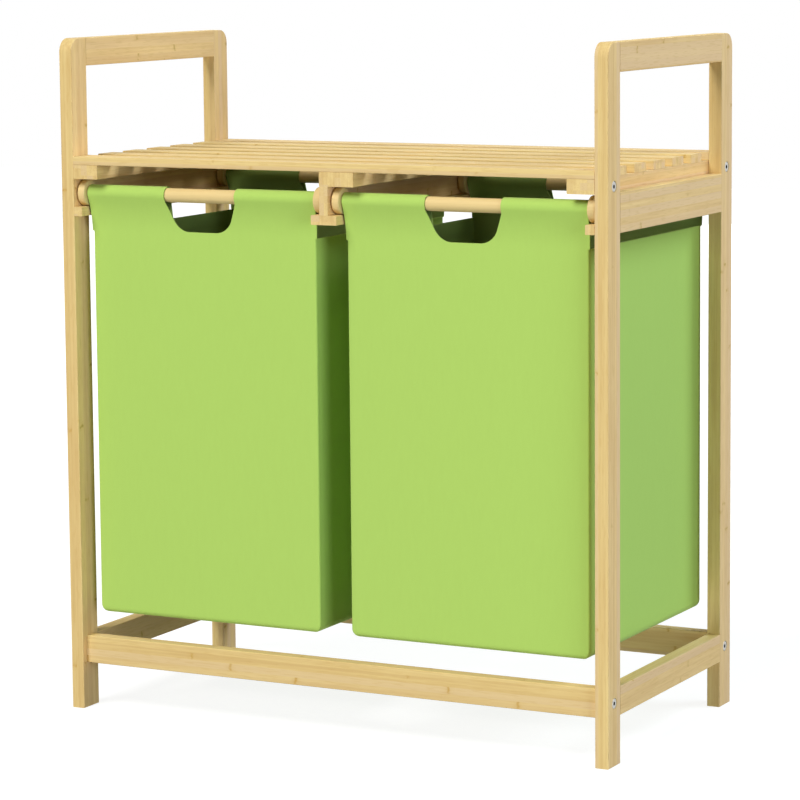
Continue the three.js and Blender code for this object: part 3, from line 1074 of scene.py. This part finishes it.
    def build(self) -> None:
        """Makes the cloth and finishes the board, rods and rollers."""
        cloth = self.build_cloth()
        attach(cloth, self.label)
        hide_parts(f"{self.label}_cloth")
        across, along, area = self.form.flat_size()
        rods = [f"{self.label}_{end.label}_rod" for end in End]
        log.info("%s: %d faces, cut %.3f by %.3f m", cloth.name, len(cloth.data.polygons), across, along)
        dress(f"{self.label}_base_board", self.board.material(f"{self.label}_board_felt"))
        seed = self.middle_seed + self.seed_spread * self.side.value
        for rod in rods:
            seed += 1
            dress(rod, self.wood.material(rod, seed))
            for side in Side:
                seed += 1
                roller = rod.replace("rod", f"{side.label}_roller")
                dress(roller, self.wood.material(roller, seed))


def direction(azimuth: float, elevation: float) -> Vector:
    """Points from the hamper towards a lamp or the camera.

    Args:
        azimuth: degrees from the front towards the right.
        elevation: degrees above the floor.

    Returns:
        The way there, one metre long.
    """
    turn = math.radians(azimuth)
    lift = math.radians(elevation)
    return Vector((math.sin(turn) * math.cos(lift), -math.cos(turn) * math.cos(lift), math.sin(lift)))


@dataclass
class AreaLamp:
    """A soft square lamp that looks at the hamper, and that glossy surfaces mirror unless told otherwise."""

    name: str
    azimuth: float
    elevation: float
    distance: float
    size: float
    power: float
    colour: Colour = WHITE
    mirrored: bool = True
    look_at: Triple = (0.0, 0.0, 0.4)

    def build(self) -> None:
        """Hangs the lamp."""
        away = direction(self.azimuth, self.elevation)
        data = bpy.data.lights.new(self.name, "AREA")
        data.shape = "SQUARE"
        data.size = self.size
        data.energy = self.power
        data.color = self.colour
        lamp = bpy.data.objects.new(self.name, data)
        lamp.location = Vector(self.look_at) + self.distance * away
        lamp.rotation_euler = away.to_track_quat("Z", "Y").to_euler()
        lamp.visible_glossy = self.mirrored
        bpy.context.scene.collection.objects.link(lamp)
        log.info("%s: %.0f W", self.name, self.power)


@dataclass
class Studio:
    """A pale floor, white surroundings and soft lamps."""

    floor_size: float = 14.0
    floor_glow: float = 0.86
    glow_start: float = 0.7
    glow_full: float = 2.4
    floor_colour: Colour = (0.26, 0.26, 0.26)
    floor_dim: Colour = (0.15, 0.15, 0.15)
    ambient: Colour = (0.03, 0.03, 0.03)
    lamps: tuple[AreaLamp, ...] = (
        AreaLamp("key_lamp", -15, 47, 12.0, 6.0, 1334),
        AreaLamp("bounce_lamp", -15, -30, 12.0, 6.0, 470, mirrored=False),
        AreaLamp("rear_lamp", 120, 40, 6.0, 3.0, 226, COOL_WHITE),
        AreaLamp("right_lamp", 65, 4, 6.0, 3.0, 153, COOL_WHITE),
        AreaLamp("back_lamp", 200, 5, 6.0, 3.0, 120, mirrored=False),
    )

    def show(self, graph: NodeGraph, lit: bpy.types.NodeSocket, seen: bpy.types.NodeSocket) -> None:
        """Shows one shader to the camera, in gloss and through clear matter, and lights with another.

        Args:
            graph: the node tree.
            lit: the shader for rays that carry light.
            seen: the shader for the other rays.
        """
        path = graph.node("ShaderNodeLightPath")
        direct = path.outputs["Is Camera Ray"]
        for name in ("Is Glossy Ray", "Is Transmission Ray"):
            direct = graph.calc("MAXIMUM", direct, path.outputs[name])
        choice = graph.node("ShaderNodeMixShader", direct, lit, seen)
        graph.feed(graph.output.inputs["Surface"], choice.outputs[0])

    def build_world(self) -> None:
        """Surrounds the hamper with white, and lights it from there with a plain dim light."""
        world = bpy.data.worlds.new("studio_world")
        graph = NodeGraph(world, "ShaderNodeOutputWorld")
        around = graph.node("ShaderNodeBackground", (*self.ambient, 1.0))
        white = graph.node("ShaderNodeBackground", (*WHITE, 1.0))
        self.show(graph, around.outputs[0], white.outputs[0])
        bpy.context.scene.world = world

    def build_floor(self) -> None:
        """Lays a pale floor that keeps the hamper's soft shadow and fades into the white around it.

        It lets the bounce lamp through, which lights the front as a wide white floor would from below.
        """
        bpy.ops.mesh.primitive_plane_add(size=self.floor_size, location=(0, 0, 0))
        floor = bpy.context.active_object
        floor.name = "studio_floor"
        floor.visible_shadow = False
        material = bpy.data.materials.new("studio_floor")
        graph = NodeGraph(material, "ShaderNodeOutputMaterial")
        dim = graph.node("ShaderNodeBsdfDiffuse", (*self.floor_dim, 1.0))
        matt = graph.node("ShaderNodeBsdfDiffuse", (*self.floor_colour, 1.0))
        place = graph.node("ShaderNodeTexCoord")
        away = graph.node("ShaderNodeVectorMath", place.outputs["Object"], operation="LENGTH")
        strength = graph.fade(away.outputs["Value"], self.glow_start, self.glow_full, self.floor_glow, 1.0)
        glow = graph.node("ShaderNodeEmission", (*WHITE, 1.0), strength)
        pale = graph.node("ShaderNodeAddShader", matt.outputs[0], glow.outputs[0])
        self.show(graph, dim.outputs[0], pale.outputs[0])
        floor.data.materials.append(material)

    def build(self) -> None:
        """Sets up the world, the floor and the lamps."""
        self.build_world()
        self.build_floor()
        for lamp in self.lamps:
            lamp.build()


@dataclass
class PhotoCamera:
    """The camera, at the photograph's angle and distance. Angles are in degrees."""

    target: Triple = (0.0021, 0.0, 0.3914)
    azimuth: float = 27.37
    elevation: float = 7.16
    roll: float = -0.495
    distance: float = 3.551
    focal_pixels: float = 3285.0
    centre_row: float = 350.0
    sensor_width: float = 36.0
    far_limit: float = 50.0

    def build(self) -> None:
        """Makes the camera and hands it to the scene."""
        data = bpy.data.cameras.new("photo_camera")
        data.sensor_width = self.sensor_width
        data.lens = self.focal_pixels * self.sensor_width / IMAGE_SIZE
        data.shift_y = (self.centre_row - IMAGE_SIZE / 2) / IMAGE_SIZE
        data.clip_end = self.far_limit
        camera = bpy.data.objects.new("photo_camera", data)
        lean = math.pi / 2 - math.radians(self.elevation)
        aim = Matrix.Rotation(math.radians(self.azimuth), 4, "Z") @ Matrix.Rotation(lean, 4, "X")
        aim = aim @ Matrix.Rotation(math.radians(self.roll), 4, "Z")
        place = Vector(self.target) + self.distance * direction(self.azimuth, self.elevation)
        camera.matrix_world = Matrix.Translation(place) @ aim
        bpy.context.scene.collection.objects.link(camera)
        bpy.context.scene.camera = camera


def main() -> None:
    """Builds the camera, the hamper and the studio in order."""
    bpy.ops.object.select_all(action="DESELECT")
    bpy.context.scene.view_settings.view_transform = "Standard"
    PhotoCamera().build()
    Carcass().build()
    for side in Side:
        Bag(side).build()
    Studio().build()


if __name__ == "__main__":
    logging.basicConfig(level=logging.INFO, format="%(message)s")
    main()
